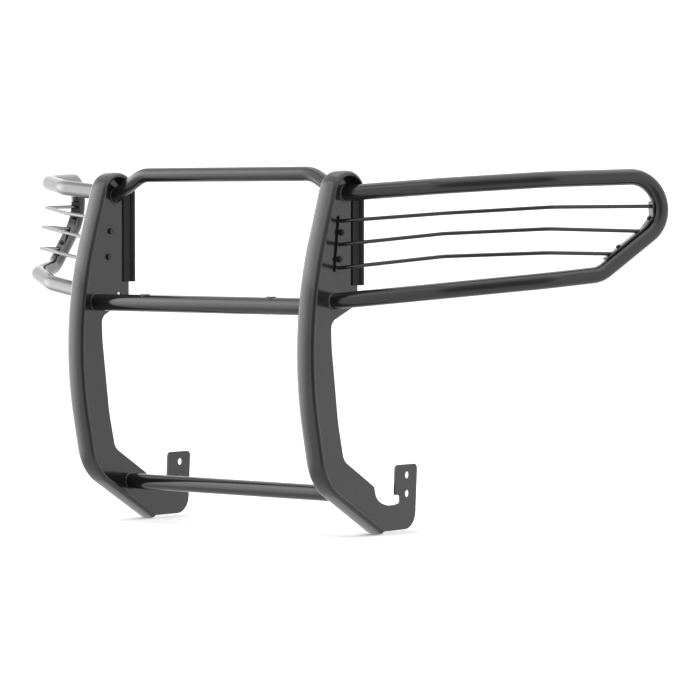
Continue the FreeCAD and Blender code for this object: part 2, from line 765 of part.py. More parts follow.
def build_outer_fasteners(side_name, side):
    """Hex bolts through the outer strip into threaded inserts set in the wing tube."""
    half = dim("outer_strip_thickness") / 2
    bolts, inserts = [], []
    for index, (spot, inward, flange_height) in enumerate(outer_bolts(side)):
        tag = "outer_%s_%d" % (side_name, index)
        head_face = spot + inward * half
        seat = spot - inward * half
        head = hex_prism("head_" + tag, "dimensions.outer_bolt_flats", "dimensions.outer_bolt_head",
                         head_face, inward)
        reach = "dimensions.outer_strip_thickness + dimensions.insert_length"
        shank = cylinder("shank_" + tag, "dimensions.outer_bolt_diameter / 2", reach,
                         head_face, inward * -1)
        bolts.append(joined("Part::Fuse", "bolt_" + tag, head, shank))
        flange = cylinder("flange_" + tag, "dimensions.insert_flange / 2",
                          "dimensions." + flange_height, seat, inward * -1)
        barrel = cylinder("barrel_" + tag, "dimensions.insert_diameter / 2",
                          "dimensions.insert_length", seat, inward * -1)
        blank = joined("Part::Fuse", "blank_" + tag, flange, barrel)
        bore = cylinder("bore_" + tag, "dimensions.outer_bolt_diameter / 2",
                        "dimensions.insert_length", seat, inward * -1)
        inserts.append(joined("Part::Cut", "insert_" + tag, blank, bore))
    grouped("outer_strip_bolts_" + side_name, bolts)
    grouped("outer_strip_inserts_" + side_name, inserts)


def build_outer_strip(side_name, side):
    strip = strip_solid(side)
    radius = (dim("outer_bolt_diameter") + dim("outer_bolt_clearance")) / 2
    for spot, inward, _ in outer_bolts(side):
        strip = strip.cut(Part.makeCylinder(radius, OVERRUN, spot - inward * (OVERRUN / 2), inward))
    return feature(strip.Solids[0], "outer_rod_strip_" + side_name)


# ---------------------------------------------------------------- welds
def weld_ring(centre, axis, radius, outward, leg):
    """A fillet weld round a round tube that meets a flat face, at any angle."""
    sideways = axis - outward * axis.dot(outward)
    if sideways.Length < TRUE_TOLERANCE:
        path = Part.makeCircle(radius, centre, outward)
        start = path.valueAt(path.FirstParameter)
    else:
        major = sideways.normalize() * (radius / abs(axis.dot(outward)))
        minor = outward.cross(sideways).normalize() * radius
        path = Part.Ellipse(centre + major, centre + minor, centre).toShape()
        start = path.valueAt(path.FirstParameter)
    tangent = path.tangentAt(path.FirstParameter)
    bead = Part.Wire([path]).makePipe(Part.Face(Part.Wire([Part.makeCircle(leg, start, tangent)])))
    bead = bead.cut(Part.makeCylinder(radius, CUT_BOX, centre - axis * (CUT_BOX / 2), axis))
    return bead.cut(half_space(centre, outward * -1)).Solids[0]


def build_welds(side_name, side):
    inner_x = side * (PLATE_X - HALF_PLATE)
    outer_x = side * (PLATE_X + HALF_PLATE)
    inward = V(-side, 0, 0)
    upper = place("upper_bar_end")
    upper.x = inner_x
    upper_axis = (place("upper_bar_bend", side) - upper).normalize()
    middle, lower = place("middle_bar"), place("lower_bar")
    middle.x = lower.x = inner_x
    leg = dim("bar_weld_leg")
    bars = [
        weld_ring(upper, upper_axis, dim("upper_bar_diameter") / 2, inward, leg),
        weld_ring(middle, X_AXIS, dim("middle_bar_diameter") / 2, inward, leg),
        weld_ring(lower, X_AXIS, TUBE_R, inward, leg),
    ]
    feature(Part.makeCompound(bars), "crossbar_welds_" + side_name)
    wings = []
    for end_name, bend_name in (("wing_upper_end", "wing_upper_bend_one"),
                                ("wing_lower_end", "wing_lower_bend_one")):
        end, bend = place(end_name, side), place(bend_name, side)
        axis = (bend - end).normalize()
        centre = end + axis * ((outer_x - end.x) / axis.x)
        wings.append(weld_ring(centre, axis, TUBE_R, V(side, 0, 0), dim("wing_weld_leg")))
    feature(Part.makeCompound(wings), "wing_welds_" + side_name)


# ---------------------------------------------------------------- the assembly
def build_all():
    build_upper_bar("upper_crossbar")
    build_middle_bar("middle_crossbar")
    build_plugs("middle_bar_plugs")
    lower = build_straight_bar("lower_crossbar", "lower_bar", "tube_diameter", "tube_wall")
    finish(lower, "lower_crossbar")
    for side_name, side in SIDES.items():
        build_plate("upright_plate_" + side_name, side)
        build_channel("upright_channel_" + side_name, side)
        build_trim("edge_trim_" + side_name, side)
        build_wing(side_name, side)
        build_inner_strip(side_name, side)
        build_outer_strip(side_name, side)
        build_rods(side_name, side)
        build_inner_fasteners(side_name, side)
        build_outer_fasteners(side_name, side)
        build_welds(side_name, side)


def check_document():
    doc.recompute()
    for obj in doc.Objects:
        if "Invalid" in obj.State or "Error" in obj.State:
            raise ValueError("%s failed: %s" % (obj.Label, obj.State))
    for node in nodes:
        if node.Shape.isNull() or not node.Shape.isValid():
            raise ValueError("%s has no valid shape" % node.Label)


def export_nodes():
    os.makedirs("parts", exist_ok=True)
    for node in nodes:
        node.Shape.exportStep("parts/%s.step" % node.Label)
        print(node.Label, len(node.Shape.Solids), round(node.Shape.Volume))


build_all()
check_document()
export_nodes()
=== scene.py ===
"""Front grille guard: looks, weld beads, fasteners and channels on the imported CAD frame."""
import math

import bmesh
import bpy
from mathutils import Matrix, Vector


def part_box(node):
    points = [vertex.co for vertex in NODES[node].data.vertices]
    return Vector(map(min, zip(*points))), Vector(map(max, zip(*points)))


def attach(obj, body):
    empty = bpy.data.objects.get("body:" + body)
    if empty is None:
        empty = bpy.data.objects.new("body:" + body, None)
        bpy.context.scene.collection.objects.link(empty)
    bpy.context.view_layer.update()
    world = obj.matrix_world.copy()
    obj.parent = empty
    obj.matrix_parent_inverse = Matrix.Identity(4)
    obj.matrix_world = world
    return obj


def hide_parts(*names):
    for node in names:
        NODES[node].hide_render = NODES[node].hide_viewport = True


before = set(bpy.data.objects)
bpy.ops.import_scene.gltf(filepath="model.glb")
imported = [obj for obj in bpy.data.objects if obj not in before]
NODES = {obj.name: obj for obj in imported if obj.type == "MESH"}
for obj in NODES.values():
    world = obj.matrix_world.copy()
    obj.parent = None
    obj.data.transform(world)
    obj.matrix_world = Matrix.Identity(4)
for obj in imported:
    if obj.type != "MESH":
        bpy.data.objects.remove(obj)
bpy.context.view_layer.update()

MM = 0.001
SIDES = {"left": -1, "right": 1}

# Named places and sizes of the CAD model, in millimetres from the datum, which is the upper tab
# hole. SHIFT moves them from there to the frame's origin.
SHIFT = Vector((0.0, 66.918, 134.0))
PLATE_X = 364.5
PLATE_THICKNESS = 4.5
STRIP_THICKNESS = 4.8
TUBE_R = 19.05
UPPER_BAR_R = 17.45
MIDDLE_BAR_R = 20.65
WING_WELD_LEG = 3.6
BAR_WELD_LEG = 2.6
OUTER_STRIP_THICKNESS = 4.0
OUTER_STRIP_START = 33.0
OUTER_STRIP_STRAIGHT = 127.0
OUTER_STRIP_LIFT = math.radians(14.5)
OUTER_BOLT_FIRST = 46.0
OUTER_BOLT_SECOND = 28.5
STANDOFF = 0.6
PLACES = {
    "upper_strip_bolt": (0.0, -255.5, 581.7),
    "lower_strip_bolt": (0.0, -263.0, 518.8),
    "upper_bar_end": (0.0, -238.0, 668.0),
    "upper_bar_bend": (270.0, -238.0, 719.0),
    "middle_bar": (0.0, -307.0, 408.0),
    "lower_bar": (0.0, -184.0, -37.5),
    "wing_upper_end": (366.0, -235.0, 673.0),
    "wing_upper_bend_one": (600.0, -167.3, 689.5),
    "wing_upper_bend_two": (799.7, -20.9, 704.5),
    "wing_tip": (1006.6, 390.7, 718.3),
    "wing_low_corner": (874.2, 76.0, 484.3),
    "wing_lower_end": (366.0, -277.0, 421.0),
    "wing_lower_bend_one": (628.8, -184.5, 448.8),
}


def place(name, side=1):
    """A named place in millimetres, on the chosen side."""
    x, y, z = PLACES[name]
    return Vector((side * x, y, z))


# ---------------------------------------------------------------- mesh building
SHARP_CORNER = math.radians(34)
NEARLY_UPRIGHT = 0.8


class Builder:
    """Collects closed parts, in millimetres from the datum, and makes one object of them."""

    def __init__(self):
        self.points = []
        self.faces = []

    def tube_grid(self, rings, close_rings=False):
        """Faces between rings of points; open ends are capped."""
        start, width = len(self.points), len(rings[0])
        for ring in rings:
            self.points.extend(ring)
        count = len(rings)
        for index in range(count if close_rings else count - 1):
            a, b = start + index * width, start + (index + 1) % count * width
            for k in range(width):
                n = (k + 1) % width
                self.faces.append((a + k, a + n, b + n, b + k))
        if not close_rings:
            self.faces.append(tuple(start + k for k in reversed(range(width))))
            last = start + (count - 1) * width
            self.faces.append(tuple(last + k for k in range(width)))

    def make(self, name, node, slot_name, material):
        """One object of the collected parts, which stands for a CAD node."""
        mesh = bpy.data.meshes.new(name)
        mesh.from_pydata([(p + SHIFT) * MM for p in self.points], [], self.faces)
        mesh.validate()
        obj = bpy.data.objects.new(name, mesh)
        bpy.context.scene.collection.objects.link(obj)
        set_normals(obj)
        obj.data.materials.append(material)
        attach(obj, "root")
        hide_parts(node)


def set_normals(obj):
    """Outward faces, smooth except across sharp corners."""
    work = bmesh.new()
    work.from_mesh(obj.data)
    bmesh.ops.recalc_face_normals(work, faces=work.faces)
    for face in work.faces:
        face.smooth = True
    for edge in work.edges:
        if len(edge.link_faces) == 2 and edge.calc_face_angle(0.0) > SHARP_CORNER:
            edge.smooth = False
    work.to_mesh(obj.data)
    work.free()


def axes_of(direction):
    """Two unit vectors square to a direction."""
    guide = Vector((0, 0, 1)) if abs(direction.z) < NEARLY_UPRIGHT else Vector((1, 0, 0))
    first = direction.cross(guide).normalized()
    return first, direction.cross(first).normalized()


# ---------------------------------------------------------------- weld beads
RIPPLE_PITCH = 3.0
STEPS_PER_RIPPLE = 8
BEAD_STEPS = 9
CRESCENT = 0.55  # how far a puddle's middle leads its toes, as a share of a ripple
FLAT_SHARE = 0.45  # how much of the bead's face is a straight fillet and not a round one
BASE_REACH = 0.90  # this and the next three are shares of the bead's leg
UNEVENNESS = 0.06
RIPPLE_HEIGHT = 0.10
RIPPLE_FOOT = 0.06
RIPPLE_AT_TOES = 0.35  # the share of the ripple that is left at the bead's toes
TOE_SLOPE = 4  # how fast the ripple grows away from the toes
WOBBLE_SECOND = 0.6  # the strength of the quicker of the wobble's two waves


def ripple(phase):
    """Height of overlapping weld puddles, each steep at its leading edge."""
    part = phase - math.floor(phase)
    return math.sqrt(max(0.0, 1.0 - (1.0 - part) ** 2))


def wobble(angle, seed):
    """A slow hand-made unevenness that closes on itself."""
    slow = math.sin(3 * angle + seed)
    quick = math.sin(7 * angle + 2.3 * seed)
    return (slow + WOBBLE_SECOND * quick) / (1 + WOBBLE_SECOND)


def weld_ring(build, centre, axis, radius, outward, leg, seed):
    """A rippled fillet bead where a round tube meets a flat plate; the seed sets its wobble."""
    first, second = axes_of(axis)
    ripples = round(2 * math.pi * (radius + leg / 2) / RIPPLE_PITCH)
    count = ripples * STEPS_PER_RIPPLE
    rings = []
    for index in range(count):
        angle = 2 * math.pi * index / count
        radial = first * math.cos(angle) + second * math.sin(angle)
        foot = centre + radial * radius
        foot -= axis * ((foot - centre).dot(outward) / axis.dot(outward))
        along_plate = (radial - outward * radial.dot(outward)).normalized()
        tangent = radial.cross(outward).normalized()
        up_tube = tangent.cross(radial).normalized()
        if up_tube.dot(outward) < 0:
            up_tube = -up_tube
        opening = along_plate.angle(up_tube)
        uneven = 0.5 + 0.5 * wobble(angle, seed)
        ring = [foot]
        for step in range(BEAD_STEPS):
            v = step / (BEAD_STEPS - 1)
            turn = (v - 0.5) * opening
            flat = math.cos(opening / 2) / math.cos(turn)
            crescent = CRESCENT * (1.0 - (2 * v - 1) ** 2)
            height = ripple(ripples * angle / (2 * math.pi) + crescent)
            body = FLAT_SHARE * flat + 1 - FLAT_SHARE
            from_toes = min(1.0, TOE_SLOPE * min(v, 1 - v))
            rippled = RIPPLE_AT_TOES + (1 - RIPPLE_AT_TOES) * from_toes
            relief = (RIPPLE_HEIGHT * height - RIPPLE_FOOT) * rippled
            reach = leg * body * (BASE_REACH + UNEVENNESS * uneven + relief)
            a, b = math.sin((1 - v) * opening), math.sin(v * opening)
            towards = (along_plate * a + up_tube * b) / math.sin(opening)
            ring.append(foot + towards * min(reach, leg))
        rings.append(ring)
    build.tube_grid(rings, close_rings=True)


def build_welds(material):
    """Beads where the crossbars meet each plate's inner face and the wing tube its outer face."""
    for side_name, side in SIDES.items():
        inner_x = side * (PLATE_X - PLATE_THICKNESS / 2)
        outer_x = side * (PLATE_X + PLATE_THICKNESS / 2)
        inward, outward = Vector((-side, 0, 0)), Vector((side, 0, 0))
        upper = place("upper_bar_end")
        upper.x = inner_x
        upper_axis = (place("upper_bar_bend", side) - upper).normalized()
        middle, lower = place("middle_bar"), place("lower_bar")
        middle.x = lower.x = inner_x
        build = Builder()
        weld_ring(build, upper, upper_axis, UPPER_BAR_R, inward, BAR_WELD_LEG, 1.0 + side)
        weld_ring(build, middle, inward, MIDDLE_BAR_R, inward, BAR_WELD_LEG, 2.1 + side)
        weld_ring(build, lower, inward, TUBE_R, inward, BAR_WELD_LEG, 3.7 + side)
        build.make("weld_beads_crossbars_" + side_name, "crossbar_welds_" + side_name,
                   "painted_weld", material)
        build = Builder()
        for seed, (end_name, bend_name) in enumerate((
                ("wing_upper_end", "wing_upper_bend_one"),
                ("wing_lower_end", "wing_lower_bend_one"))):
            end = place(end_name, side)
            axis = (place(bend_name, side) - end).normalized()
            centre = end + axis * ((outer_x - end.x) / axis.x)
            weld_ring(build, centre, axis, TUBE_R, outward, WING_WELD_LEG, 4.4 + seed + side)
        build.make("weld_beads_wing_" + side_name, "wing_welds_" + side_name,
                   "painted_weld", material)


# ---------------------------------------------------------------- fasteners
HEX_STEPS = 48
CHAMFER = math.tan(math.radians(30))
FACE_SHARE = 0.96  # the round face's share of a hex's width across flats
DISH_RIM = 0.72  # this and the next are shares of the round face
DISH_FLOOR = 0.64
THREAD_STEPS = 32
RINGS_PER_PITCH = 6
THREAD_DEPTH = 0.55  # a share of the pitch
SHANK_START = 0.98  # a share of the shank's radius

# Sizes in millimetres.
WASHER_FACE = 0.5
DISH_DEPTH = 0.25
MOUTH = 0.6
INNER_FLATS = 13.0
INNER_HEAD = 5.3
INNER_NUT = 6.5
INNER_BOLT_END = 2.5
INNER_BOLT_R = 4.0
INNER_PITCH = 1.25
OUTER_FLATS = 10.0
OUTER_HEAD = 4.2
OUTER_BOLT_LENGTH = 17.0
OUTER_BOLT_R = 3.0
OUTER_PITCH = 1.0
OUTER_PLAIN = 4.0


def hex_radius(angle, flats):
    """Distance from a hex's middle to its outline."""
    within = (angle + math.pi / 6) % (math.pi / 3) - math.pi / 6
    return flats / 2 / math.cos(within)


def circle(radius):
    """A plain round ring, as ring_at wants it."""
    return lambda angle: (radius, 0.0)


def ring_at(base, direction, height, radius_of, steps=HEX_STEPS):
    """A ring of points round an axis; radius_of gives each point's radius and extra height."""
    first, second = axes_of(direction)
    ring = []
    for index in range(steps):
        angle = 2 * math.pi * index / steps
        radius, lift = radius_of(angle)
        ring.append(base + direction * (height + lift)
                    + (first * math.cos(angle) + second * math.sin(angle)) * radius)
    return ring


def chamfered(flats, outward):
    """Radius and height of a hex corner cut by a 30 degree cone."""
    face = flats / 2 * FACE_SHARE

    def at(angle):
        radius = hex_radius(angle, flats)
        return radius, -outward * max(0.0, radius - face) * CHAMFER
    return at


def hex_head(build, base, direction, flats, height):
    """A hex bolt head: washer face, six flats and a chamfered top with a shallow dish."""
    face = flats / 2 * FACE_SHARE
    build.tube_grid([
        ring_at(base, direction, 0.0, circle(face)),
        ring_at(base, direction, WASHER_FACE, circle(face)),
        ring_at(base, direction, WASHER_FACE, lambda angle: (hex_radius(angle, flats), 0.0)),
        ring_at(base, direction, height, chamfered(flats, 1)),
        ring_at(base, direction, height, circle(face)),
        ring_at(base, direction, height, circle(face * DISH_RIM)),
        ring_at(base, direction, height - DISH_DEPTH, circle(face * DISH_FLOOR)),
    ])


def threaded(build, base, direction, end, radius, pitch, plain_to):
    """A shank from the base, with a screw thread from plain_to to its chamfered end."""
    depth = THREAD_DEPTH * pitch
    rings = [ring_at(base, direction, 0.0, circle(radius * SHANK_START), THREAD_STEPS)]
    count = int((end - plain_to) / pitch * RINGS_PER_PITCH)
    for index in range(count + 1):
        height = plain_to + (end - plain_to) * index / count

        def at(angle, height=height):
            phase = (height / pitch - angle / (2 * math.pi)) % 1.0
            cut = depth * abs(2 * phase - 1)
            tip = max(0.0, 1.0 - (end - height) / pitch) * depth
            return radius - max(cut, tip), 0.0
        rings.append(ring_at(base, direction, height, at, THREAD_STEPS))
    build.tube_grid(rings)


def hex_nut(build, base, direction, flats, height, bore):
    """A nut chamfered on both faces, with a countersunk mouth."""
    face = flats / 2 * FACE_SHARE
    build.tube_grid([
        ring_at(base, direction, 0.0, circle(face)),
        ring_at(base, direction, 0.0, chamfered(flats, -1)),
        ring_at(base, direction, height, chamfered(flats, 1)),
        ring_at(base, direction, height, circle(face)),
        ring_at(base, direction, height, circle(bore + MOUTH)),
        ring_at(base, direction, height - MOUTH, circle(bore)),
        ring_at(base, direction, MOUTH, circle(bore)),
        ring_at(base, direction, 0.0, circle(bore + MOUTH)),
    ], close_rings=True)


def outer_bolts(side):
    """Each outer bolt's place on the strip's middle line, and the direction its head looks."""
    low = place("wing_low_corner", side)
    tip = place("wing_tip", side)
    bend = place("wing_upper_bend_two", side)
    along = (tip - bend).normalized()
    off = along.cross(low - tip).normalized()
    run = (tip - low).normalized()
    inward = run.cross(off).normalized()
    if inward.z < 0:
        inward = -inward
    foot = low + run * OUTER_STRIP_START + inward * (TUBE_R + STANDOFF + OUTER_STRIP_THICKNESS / 2)
    kink = foot + run * OUTER_STRIP_STRAIGHT
    lifted_run = run * math.cos(OUTER_STRIP_LIFT) + inward * math.sin(OUTER_STRIP_LIFT)
    lifted_face = inward * math.cos(OUTER_STRIP_LIFT) - run * math.sin(OUTER_STRIP_LIFT)
    return [(foot + run * OUTER_BOLT_FIRST, inward),
            (kink + lifted_run * OUTER_BOLT_SECOND, lifted_face)]


def build_fasteners(material):
    """The strips' bolts and nuts at each plate, and their bolts at each loop."""
    grip = PLATE_THICKNESS + STRIP_THICKNESS
    inner_length = grip + INNER_NUT + INNER_BOLT_END
    for side_name, side in SIDES.items():
        out = Vector((side, 0, 0))
        bolts, nuts = Builder(), Builder()
        for place_name in ("upper_strip_bolt", "lower_strip_bolt"):
            spot = place(place_name)
            head = Vector((side * (PLATE_X - PLATE_THICKNESS / 2), spot.y, spot.z))
            hex_head(bolts, head, -out, INNER_FLATS, INNER_HEAD)
            threaded(bolts, head, out, inner_length, INNER_BOLT_R, INNER_PITCH, grip)
            hex_nut(nuts, head + out * grip, out, INNER_FLATS, INNER_NUT, INNER_BOLT_R)
        bolts.make("hex_bolts_inner_" + side_name, "inner_strip_bolts_" + side_name,
                   "black_oxide_steel", material)
        nuts.make("hex_nuts_inner_" + side_name, "inner_strip_nuts_" + side_name,
                  "black_oxide_steel", material)
        bolts = Builder()
        for spot, inward in outer_bolts(side):
            face = spot + inward * (OUTER_STRIP_THICKNESS / 2)
            hex_head(bolts, face, inward, OUTER_FLATS, OUTER_HEAD)
            threaded(bolts, face, -inward, OUTER_BOLT_LENGTH, OUTER_BOLT_R, OUTER_PITCH, OUTER_PLAIN)
        bolts.make("hex_bolts_outer_" + side_name, "outer_strip_bolts_" + side_name,
                   "black_oxide_steel", material)


# ---------------------------------------------------------------- plugs
PLUG_X = 200.0
PLUG_R = 13.0
PLUG_STEM_R = 9.0
PLUG_STEM_DEPTH = 1.0
PLUG_GAP = 0.05
PLUG_CROWN = 2.0
PLUG_ROUND = 2.2
PLUG_DIMPLE = 0.35
PLUG_DIMPLE_RIM = 0.7  # this and the next two are shares of the plug's radius
PLUG_DIMPLE_WALL = 0.6
PLUG_DIMPLE_FLOOR = 0.3
PLUG_STEPS = 64
PLUG_ROUND_STEPS = 6


def plug_ring(centre, radius, above):
    """A ring of points at a height above the bar's surface, which it follows."""
    ring = []
    for index in range(PLUG_STEPS):
        angle = 2 * math.pi * index / PLUG_STEPS
        x, y = radius * math.cos(angle), radius * math.sin(angle)
        ring.append(centre + Vector((x, y, math.sqrt((MIDDLE_BAR_R + above) ** 2 - y * y))))
    return ring


def build_plugs(material):
    """Snap-in plugs: a thin rounded crown that follows the bar, on a short stem."""
    build = Builder()
    for side in SIDES.values():
        centre = place("middle_bar") + Vector((side * PLUG_X, 0, 0))
        sizes = [(PLUG_STEM_R, -PLUG_STEM_DEPTH), (PLUG_STEM_R, PLUG_GAP), (PLUG_R, PLUG_GAP)]
        for index in range(1, PLUG_ROUND_STEPS + 1):
            turn = math.pi / 2 * index / PLUG_ROUND_STEPS
            sizes.append((PLUG_R - PLUG_ROUND * (1 - math.cos(turn)),
                          PLUG_GAP + (PLUG_CROWN - PLUG_GAP) * math.sin(turn)))
        sizes += [(PLUG_R * PLUG_DIMPLE_RIM, PLUG_CROWN),
                  (PLUG_R * PLUG_DIMPLE_WALL, PLUG_CROWN - PLUG_DIMPLE),
                  (PLUG_R * PLUG_DIMPLE_FLOOR, PLUG_CROWN - PLUG_DIMPLE)]
        build.tube_grid([plug_ring(centre, radius, above) for radius, above in sizes])
    build.make("bar_plugs", "middle_bar_plugs", "black_plastic", material)


# ---------------------------------------------------------------- pressed channels
# The crown's depth at the channel's sides, the places across it where the flat face gets edges,
# and the reach of the hollow between the hems: all in millimetres from the channel's middle.
CROWN = 2.5
CROWN_CUTS = (3.0, 6.0, 9.0, 12.0, 14.5, 17.0)
HEM_INSIDE = 21.7
CREASE = math.radians(32)
SAME_POINT = 1e-5
ON_PLANE = 1e-7


def cut_across(mesh, where):
    """Adds edges where a plane at this x crosses the mesh."""
    bmesh.ops.bisect_plane(mesh, geom=mesh.verts[:] + mesh.edges[:] + mesh.faces[:], dist=ON_PLANE,
                           plane_co=(where, 0.0, 0.0), plane_no=(1.0, 0.0, 0.0))


def crown_shift(vertex, middle, half_width):
    """How far a vertex moves for the crown: face and hollow go in together, and the hems stay."""
    across = vertex.co.x - middle.x
    normal = Vector((0.0, vertex.normal.y, vertex.normal.z))
    outer = normal.dot(vertex.co - middle) > 0
    if not outer and abs(across) > HEM_INSIDE * MM:
        return Vector()
    depth = CROWN * MM * (across / half_width) ** 2
    return normal * (-depth if outer else depth)


def build_channel(side_name, material):
    """One upright's channel: a copy of the CAD mesh whose flat face is pressed to a soft crown."""
    node_name = "upright_channel_" + side_name
    low, high = (Vector(corner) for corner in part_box(node_name))
    middle = (low + high) / 2
    half_width = (high.x - low.x) / 2
    mesh = bmesh.new()
    mesh.from_mesh(NODES[node_name].data)
    bmesh.ops.remove_doubles(mesh, verts=mesh.verts, dist=SAME_POINT)
    for offset in CROWN_CUTS:
        cut_across(mesh, middle.x - offset * MM)
        cut_across(mesh, middle.x + offset * MM)
    mesh.normal_update()
    shifts = [crown_shift(vertex, middle, half_width) for vertex in mesh.verts]
    for vertex, shift in zip(mesh.verts, shifts):
        vertex.co += shift
    name = "pressed_channel_" + side_name
    data = bpy.data.meshes.new(name)
    mesh.to_mesh(data)
    mesh.free()
    data.shade_smooth()
    data.set_sharp_from_angle(angle=CREASE)
    data.materials.append(material)
    piece = bpy.data.objects.new(name, data)
    bpy.context.scene.collection.objects.link(piece)
    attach(piece, "root")
    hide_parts(node_name)


# ---------------------------------------------------------------- materials
class Shade:
    """A small helper that adds nodes to one material."""

    def __init__(self, name, **settings):
        self.material = bpy.data.materials.new(name)
        self.material.use_nodes = True
        self.tree = self.material.node_tree
        self.shader = self.tree.nodes["Principled BSDF"]
        for key, value in settings.items():
            self.shader.inputs[key.replace("_", " ")].default_value = value
        self.where = self.tree.nodes.new("ShaderNodeTexCoord").outputs["Object"]

    def link(self, a, b):
        """Joins two sockets."""
        self.tree.links.new(a, b)

    def stretched(self, scale):
        """Object coordinates multiplied along each axis."""
        node = self.tree.nodes.new("ShaderNodeMapping")
        node.inputs["Scale"].default_value = scale
        self.link(self.where, node.inputs["Vector"])
        return node.outputs["Vector"]

    def noise(self, scale, detail=3.0, rough=0.5, vector=None):
        """Noise with about this many blotches a metre."""
        node = self.tree.nodes.new("ShaderNodeTexNoise")
        node.inputs["Scale"].default_value = scale
        node.inputs["Detail"].default_value = detail
        node.inputs["Roughness"].default_value = rough
        self.link(vector or self.where, node.inputs["Vector"])
        return node.outputs["Fac"]

    def between(self, factor, low, high, start=0.0, end=1.0):
        """A value that goes from low to high while the factor goes from start to end."""
        node = self.tree.nodes.new("ShaderNodeMapRange")
        for name, value in (("From Min", start), ("From Max", end), ("To Min", low), ("To Max", high)):
            node.inputs[name].default_value = value
        self.link(factor, node.inputs["Value"])
        return node.outputs["Result"]

    def colours(self, factor, stops):
        """A colour ramp between two (place, colour) stops."""
        node = self.tree.nodes.new("ShaderNodeValToRGB")
        ramp = node.color_ramp
        for stop, (spot, colour) in zip(ramp.elements, stops):
            stop.position = spot
            stop.color = (*colour, 1.0)
        self.link(factor, node.inputs["Fac"])
        return node.outputs["Color"]

    def bump(self, height, distance, strength, under=None):
        """A surface raised by up to this distance, in metres, over what is under it."""
        node = self.tree.nodes.new("ShaderNodeBump")
        node.inputs["Distance"].default_value = distance
        node.inputs["Strength"].default_value = strength
        self.link(height, node.inputs["Height"])
        if under is not None:
            self.link(under, node.inputs["Normal"])
        return node.outputs["Normal"]


def powder_coat(name, roughness, peel):
    """Black powder coat: orange peel, fine pigment grain and faint handling haze."""
    s = Shade(name, IOR=1.5, Specular_IOR_Level=0.5)
    haze = s.noise(scale=9.0, detail=4.0, rough=0.6)
    orange_peel = s.noise(scale=220.0, detail=1.0)
    grain = s.noise(scale=1500.0, detail=1.0)
    s.link(s.colours(haze, [(0.3, (0.0085, 0.0085, 0.009)), (0.75, (0.0135, 0.0135, 0.014))]),
           s.shader.inputs["Base Color"])
    s.link(s.between(haze, low=roughness - 0.02, high=roughness + 0.04, start=0.3, end=0.75),
           s.shader.inputs["Roughness"])
    peeled = s.bump(orange_peel, distance=0.00006, strength=peel)
    s.link(s.bump(grain, distance=0.000006, strength=0.3, under=peeled), s.shader.inputs["Normal"])
    return s.material


def rubber(name):
    """Extruded rubber: long fine die lines, dull bloom and a matte grain."""
    s = Shade(name, IOR=1.4, Specular_IOR_Level=0.3)
    lines = s.noise(scale=1.0, detail=2.0, vector=s.stretched((900.0, 900.0, 6.0)))
    bloom = s.noise(scale=26.0, detail=5.0, rough=0.6)
    grain = s.noise(scale=1800.0, detail=2.0)
    s.link(s.colours(bloom, [(0.3, (0.006, 0.006, 0.006)), (0.8, (0.012, 0.012, 0.0115))]),
           s.shader.inputs["Base Color"])
    s.link(s.between(bloom, low=0.55, high=0.72, start=0.3, end=0.8), s.shader.inputs["Roughness"])
    lined = s.bump(lines, distance=0.00012, strength=0.6)
    s.link(s.bump(grain, distance=0.00004, strength=0.5, under=lined), s.shader.inputs["Normal"])
    return s.material


def plastic(name):
    """Moulded plastic with a fine spark texture."""
    s = Shade(name, IOR=1.49)
    spark = s.noise(scale=1500.0, rough=0.6)
    mottle = s.noise(scale=60.0)
    s.link(s.colours(mottle, [(0.3, (0.016, 0.016, 0.016)), (0.7, (0.024, 0.024, 0.024))]),
           s.shader.inputs["Base Color"])
    s.link(s.between(spark, low=0.34, high=0.5), s.shader.inputs["Roughness"])
    s.link(s.bump(spark, distance=0.00006, strength=0.6), s.shader.inputs["Normal"])
    return s.material


def coated_steel(name):
    """Black coated fasteners: uneven sheen with a little wear."""
    s = Shade(name, IOR=1.5, Metallic=0.2)
    wear = s.noise(scale=240.0, detail=4.0, rough=0.65)
    grain = s.noise(scale=1200.0, detail=2.0)
    s.link(s.colours(wear, [(0.35, (0.008, 0.008, 0.0085)), (0.7, (0.018, 0.018, 0.019))]),
           s.shader.inputs["Base Color"])
    s.link(s.between(wear, low=0.4, high=0.6, start=0.3, end=0.75), s.shader.inputs["Roughness"])
    s.link(s.bump(grain, distance=0.00003, strength=0.5), s.shader.inputs["Normal"])
    return s.material


def dress(node_name, material):
    """Gives a CAD node its material."""
    mesh = NODES[node_name].data
    mesh.materials.clear()
    mesh.materials.append(material)


# ---------------------------------------------------------------- the stage
FLOOR_REACH = 60.0

# The world's brightness by direction: at the horizon, underfoot, and towards two places.
HORIZON = 1.4
FOOT = 1.1
DOORWAY = (0.648, -0.761, 0.0)
DOORWAY_LEVEL = 0.25
BRIGHT_WALL = (-0.955, -0.285, 0.08)
WALL_LEVEL = 4.0

LIGHT_TARGET = Vector((0.0, 0.0, 0.4))
CAMERA_PLACE = (5.656, -6.652, 0.767)
CAMERA_DOWN = math.radians(2.2346)
CAMERA_TURN = math.radians(39.132)
LENS = 184.07
SENSOR = 36.0
CLIP_END = 500.0


def stage_material():
    """Pale floor paint, faintly uneven."""
    s = Shade("pale_floor", Roughness=0.9)
    s.link(s.colours(s.noise(scale=3.0), [(0.2, (0.80, 0.80, 0.80)), (0.8, (0.84, 0.84, 0.84))]),
           s.shader.inputs["Base Color"])
    return s.material


